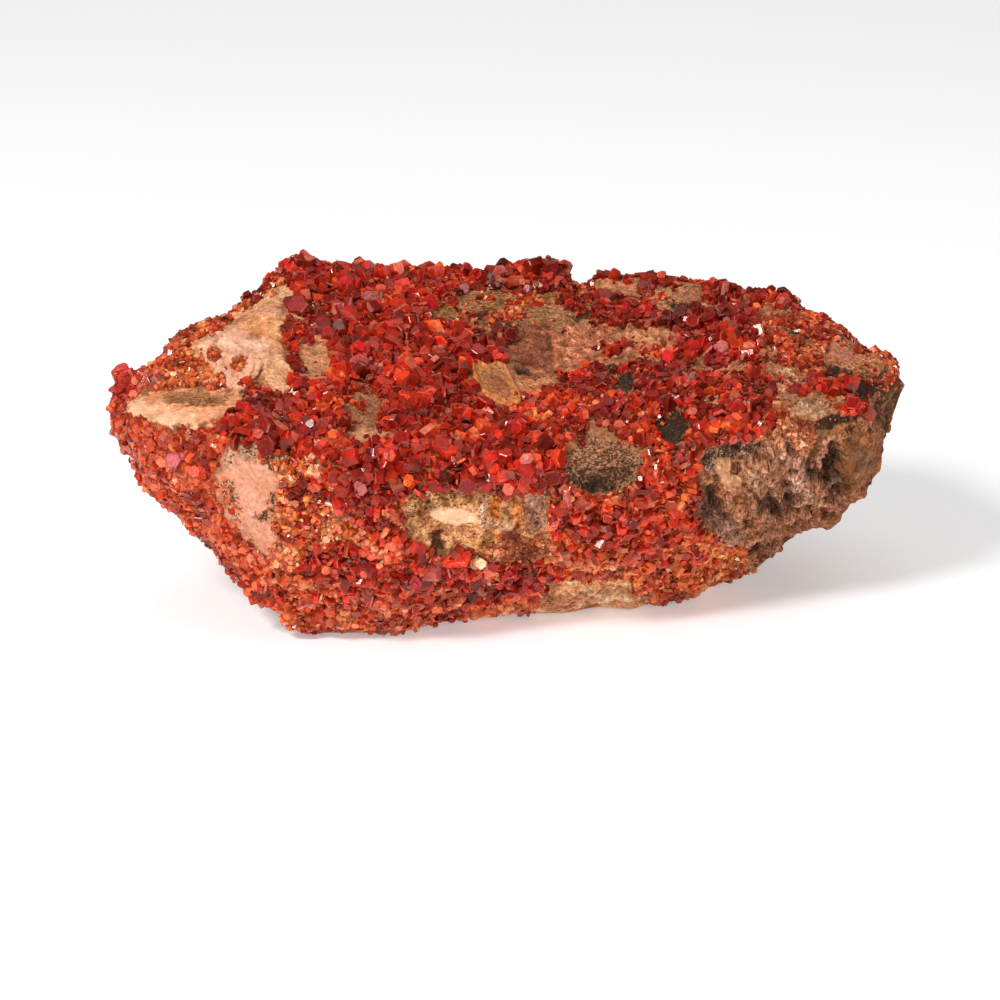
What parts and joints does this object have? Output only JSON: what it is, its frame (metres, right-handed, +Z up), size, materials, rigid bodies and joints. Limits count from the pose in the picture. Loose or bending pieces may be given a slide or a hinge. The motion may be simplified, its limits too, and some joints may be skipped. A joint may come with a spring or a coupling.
{
  "type": "vanadinite druse on matrix",
  "caption": "Hand-sized lump of broken brown rock, its top and front crusted with intergrown six-sided red to orange vanadinite crystals, resting on a flat facet.",
  "frame": {"origin": "bottom centre of the whole specimen, on the plane it rests on", "axes": "+X along the length, left to right seen from the crystal-covered front; -Y is the front; +Z up"},
  "size_m": [0.1522, 0.085, 0.0574],
  "materials": {
    "cream_flake": "dull cream to pink flake",
    "cream_patch": "dull cream to pink flake",
    "crystal_corner_red": "glossy deep red crystal",
    "crystal_deep_plate": "glossy deep red crystal",
    "crystal_front_red": "glossy, slightly translucent bright red crystals",
    "crystal_lilac_left": "glossy red crystal with a pale mauve sheen on its flat faces",
    "crystal_long_blade": "glossy, slightly translucent bright red crystals",
    "crystal_lower_blade": "glossy, slightly translucent bright red crystals",
    "crystal_lower_pink": "glossy red crystal with a pale mauve sheen on its flat faces",
    "crystal_mauve_plate": "glossy red crystal with a pale mauve sheen on its flat faces",
    "crystal_mauve_right": "glossy red crystal with a pale mauve sheen on its flat faces",
    "crystal_pale_skyline": "glossy red crystal with a pale mauve sheen on its flat faces",
    "crystal_pink_blade": "glossy red crystal with a pale mauve sheen on its flat faces",
    "crystal_red_tablet": "glossy, slightly translucent bright red crystals",
    "crystal_right_red": "glossy, slightly translucent bright red crystals",
    "crystal_ring": "glossy, slightly translucent orange to salmon crystals",
    "crystal_skyline_block": "glossy deep red crystal",
    "crystal_skyline_peak": "glossy deep red crystal",
    "crystal_tip_blade": "glossy, slightly translucent bright red crystals",
    "crystal_twin_tablet_a": "glossy, slightly translucent bright red crystals",
    "crystal_twin_tablet_b": "glossy deep red crystal",
    "druse_back_rim": "glossy, slightly translucent bright red crystals",
    "druse_centre": "glossy, slightly translucent bright red crystals",
    "druse_foot_right": "glossy, slightly translucent orange to salmon crystals",
    "druse_front_right": "glossy, slightly translucent orange to salmon crystals",
    "druse_left_flank": "glossy, slightly translucent orange to salmon crystals",
    "druse_left_shoulder": "glossy, slightly translucent orange to salmon crystals",
    "druse_left_tip": "glossy, slightly translucent orange to salmon crystals",
    "druse_lower_front": "glossy, slightly translucent bright red crystals",
    "druse_right_rim": "glossy, slightly translucent orange to salmon crystals",
    "druse_right_top": "glossy, slightly translucent bright red crystals",
    "host_rock": "rough broken brown host rock with paler tan and darker manganese-stained areas",
    "limonite_patch": "granular orange-yellow crust",
    "ochre_crust": "granular orange-yellow crust",
    "tan_shell": "dull tan crust with an ochre rim"
  },
  "bodies": {
    "root": {"cream_flake": "cream_flake", "cream_patch": "cream_patch", "crystal_corner_red": "crystal_corner_red", "crystal_deep_plate": "crystal_deep_plate", "crystal_front_red": "crystal_front_red", "crystal_lilac_left": "crystal_lilac_left", "crystal_long_blade": "crystal_long_blade", "crystal_lower_blade": "crystal_lower_blade", "crystal_lower_pink": "crystal_lower_pink", "crystal_mauve_plate": "crystal_mauve_plate", "crystal_mauve_right": "crystal_mauve_right", "crystal_pale_skyline": "crystal_pale_skyline", "crystal_pink_blade": "crystal_pink_blade", "crystal_red_tablet": "crystal_red_tablet", "crystal_right_red": "crystal_right_red", "crystal_ring": "crystal_ring", "crystal_skyline_block": "crystal_skyline_block", "crystal_skyline_peak": "crystal_skyline_peak", "crystal_tip_blade": "crystal_tip_blade", "crystal_twin_tablet_a": "crystal_twin_tablet_a", "crystal_twin_tablet_b": "crystal_twin_tablet_b", "druse_back_rim": "druse_back_rim", "druse_centre": "druse_centre", "druse_foot_right": "druse_foot_right", "druse_front_right": "druse_front_right", "druse_left_flank": "druse_left_flank", "druse_left_shoulder": "druse_left_shoulder", "druse_left_tip": "druse_left_tip", "druse_lower_front": "druse_lower_front", "druse_right_rim": "druse_right_rim", "druse_right_top": "druse_right_top", "host_rock": "host_rock", "limonite_patch": "limonite_patch", "ochre_crust": "ochre_crust", "tan_shell": "tan_shell"}
  },
  "joints": []
}
